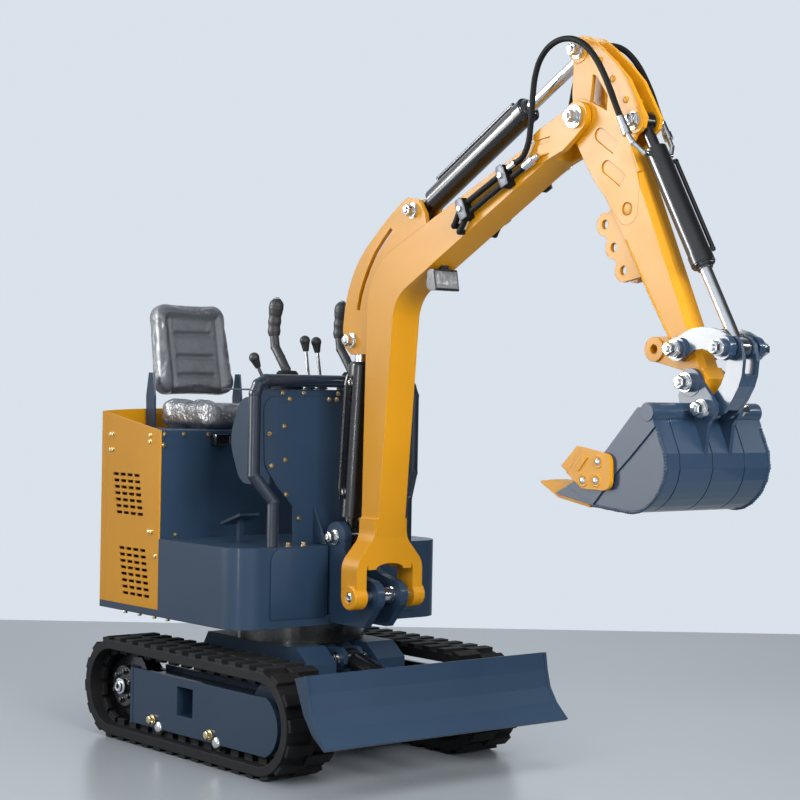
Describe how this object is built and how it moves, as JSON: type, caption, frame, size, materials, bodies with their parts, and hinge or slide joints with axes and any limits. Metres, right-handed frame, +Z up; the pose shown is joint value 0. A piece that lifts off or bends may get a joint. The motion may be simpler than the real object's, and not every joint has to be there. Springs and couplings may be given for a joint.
{
  "type": "mini excavator",
  "caption": "Small tracked digger with slewing house, seat and console, cranked boom, arm, toothed bucket and dozer blade, each moved by a cylinder.",
  "frame": {"origin": "on the ground under the middle of the machine's overall box", "axes": "+X forwards along the boom, +Y to the machine's left, +Z up"},
  "size_m": [2.5725, 0.928, 2.098],
  "materials": {
    "black_paint": "gloss",
    "black_plastic": "matt",
    "bright_steel": "polished",
    "hose_rubber": "satin",
    "rubber": "matt",
    "seat_vinyl": "satin",
    "slate_paint": "satin",
    "yellow_paint": "gloss"
  },
  "bodies": {
    "undercarriage": {"track_left": "rubber", "track_right": "rubber", "track_frames": "slate_paint", "sprockets": "black_paint", "idlers": "slate_paint", "rollers": "bright_steel", "centre_frame": "slate_paint", "frame_pins": "bright_steel", "slew_ring": "black_paint"},
    "boom": {"boom": "yellow_paint", "boom_pins": "bright_steel", "boom_lines": "hose_rubber", "hose_left": "hose_rubber", "hose_right": "hose_rubber", "work_lamp": "black_paint"},
    "arm": {"arm": "yellow_paint", "arm_cheeks": "yellow_paint", "arm_pins": "bright_steel"},
    "bucket": {"bucket": "slate_paint", "bucket_sides": "slate_paint", "teeth": "yellow_paint", "side_cutters": "yellow_paint", "bucket_pins": "bright_steel"},
    "rockers": {"rockers": "slate_paint"},
    "bucket_link": {"bucket_link": "slate_paint"},
    "blade": {"blade": "slate_paint"},
    "boom_barrel": {"boom_barrel": "black_paint"},
    "boom_rod": {"boom_rod": "bright_steel"},
    "arm_barrel": {"arm_barrel": "black_paint"},
    "arm_rod": {"arm_rod": "bright_steel"},
    "bucket_barrel": {"bucket_barrel": "black_paint", "hose_ends": "bright_steel"},
    "bucket_rod": {"bucket_rod": "bright_steel"},
    "blade_barrel": {"blade_barrel": "black_paint"},
    "blade_rod": {"blade_rod": "bright_steel"},
    "house": {"floor_deck": "slate_paint", "boom_bracket": "slate_paint", "house_pins": "bright_steel", "side_covers": "yellow_paint", "rear_panel": "yellow_paint", "seat_box": "slate_paint", "engine": "black_paint", "seat_cushion": "seat_vinyl", "seat_back": "seat_vinyl", "seat_hinge": "slate_paint", "console": "slate_paint", "guard_rail": "slate_paint", "joysticks": "black_plastic", "levers": "bright_steel", "lever_knobs": "black_plastic", "pedals": "slate_paint"}
  },
  "joints": [
    {"name": "house_slew", "type": "hinge", "parent": "undercarriage", "child": "house", "pos_m": [-0.563, 0, 0.4], "axis": [0, 0, 1], "continuous": true},
    {"name": "boom_lift", "type": "hinge", "parent": "house", "child": "boom", "pos_m": [-0.141, 0, 0.513], "axis": [0, 1, 0], "range_deg": [-4, 88]},
    {"name": "arm_swing", "type": "hinge", "parent": "boom", "child": "arm", "pos_m": [0.706, 0, 1.878], "axis": [0, -1, 0], "range_deg": [-48, 52], "deforming": ["hose_left", "hose_right"]},
    {"name": "bucket_curl", "type": "hinge", "parent": "arm", "child": "bucket", "pos_m": [1.127, 0, 1.172], "axis": [0, 1, 0], "range_deg": [-95, 45]},
    {"name": "blade_lift", "type": "hinge", "parent": "undercarriage", "child": "blade", "pos_m": [-0.213, 0, 0.215], "axis": [0, 1, 0], "range_deg": [-6, 34]},
    {"name": "boom_cylinder_swing", "type": "hinge", "parent": "house", "child": "boom_barrel", "pos_m": [-0.309, 0, 0.681], "axis": [0, 1, 0], "range_deg": [-5.08, 90.83]},
    {"name": "boom_cylinder_stroke", "type": "slide", "parent": "boom_barrel", "child": "boom_rod", "axis": [0.0708, 0, 0.9975], "range_m": [-0.019, 0.3343]},
    {"name": "arm_cylinder_swing", "type": "hinge", "parent": "boom", "child": "arm_barrel", "pos_m": [0.014, 0, 1.669], "axis": [0, 1, 0], "range_deg": [-5.6, 5.24]},
    {"name": "arm_cylinder_stroke", "type": "slide", "parent": "arm_barrel", "child": "arm_rod", "axis": [0.8663, 0, 0.4996], "range_m": [-0.1451, 0.1342]},
    {"name": "bucket_cylinder_swing", "type": "hinge", "parent": "arm", "child": "bucket_barrel", "pos_m": [0.903, 0, 1.851], "axis": [0, 1, 0], "range_deg": [-3.94, 2.4]},
    {"name": "bucket_cylinder_stroke", "type": "slide", "parent": "bucket_barrel", "child": "bucket_rod", "axis": [0.4947, 0, -0.8691], "range_m": [-0.1406, 0.0687]},
    {"name": "blade_cylinder_swing", "type": "hinge", "parent": "undercarriage", "child": "blade_barrel", "pos_m": [-0.308, 0, 0.305], "axis": [0, 1, 0], "range_deg": [-4.54, 21.08]},
    {"name": "blade_cylinder_stroke", "type": "slide", "parent": "blade_barrel", "child": "blade_rod", "axis": [0.9716, 0, -0.2367], "range_m": [-0.009, 0.0322]},
    {"name": "rocker_swing", "type": "hinge", "parent": "arm", "child": "rockers", "pos_m": [1.092, 0, 1.255], "axis": [0, 1, 0], "range_deg": [-59.27, 28.6]},
    {"name": "link_swing", "type": "hinge", "parent": "rockers", "child": "bucket_link", "pos_m": [1.24, 0, 1.259], "axis": [0, 1, 0], "range_deg": [-11.12, 22.37]}
  ],
  "couplings": [
    {"joint": "boom_cylinder_swing", "follows": "boom_lift", "ratio": 1.0208},
    {"joint": "boom_cylinder_stroke", "follows": "boom_lift", "m_per_rad": 0.21504},
    {"joint": "arm_cylinder_swing", "follows": "arm_swing", "ratio": -0.0884},
    {"joint": "arm_cylinder_stroke", "follows": "arm_swing", "m_per_rad": -0.15543},
    {"joint": "bucket_cylinder_swing", "follows": "bucket_curl", "ratio": 0.031},
    {"joint": "bucket_cylinder_stroke", "follows": "bucket_curl", "m_per_rad": 0.08237},
    {"joint": "blade_cylinder_swing", "follows": "blade_lift", "ratio": 0.5906},
    {"joint": "blade_cylinder_stroke", "follows": "blade_lift", "m_per_rad": 0.04758},
    {"joint": "rocker_swing", "follows": "bucket_curl", "ratio": 0.6134},
    {"joint": "link_swing", "follows": "bucket_curl", "ratio": -0.2249}
  ]
}
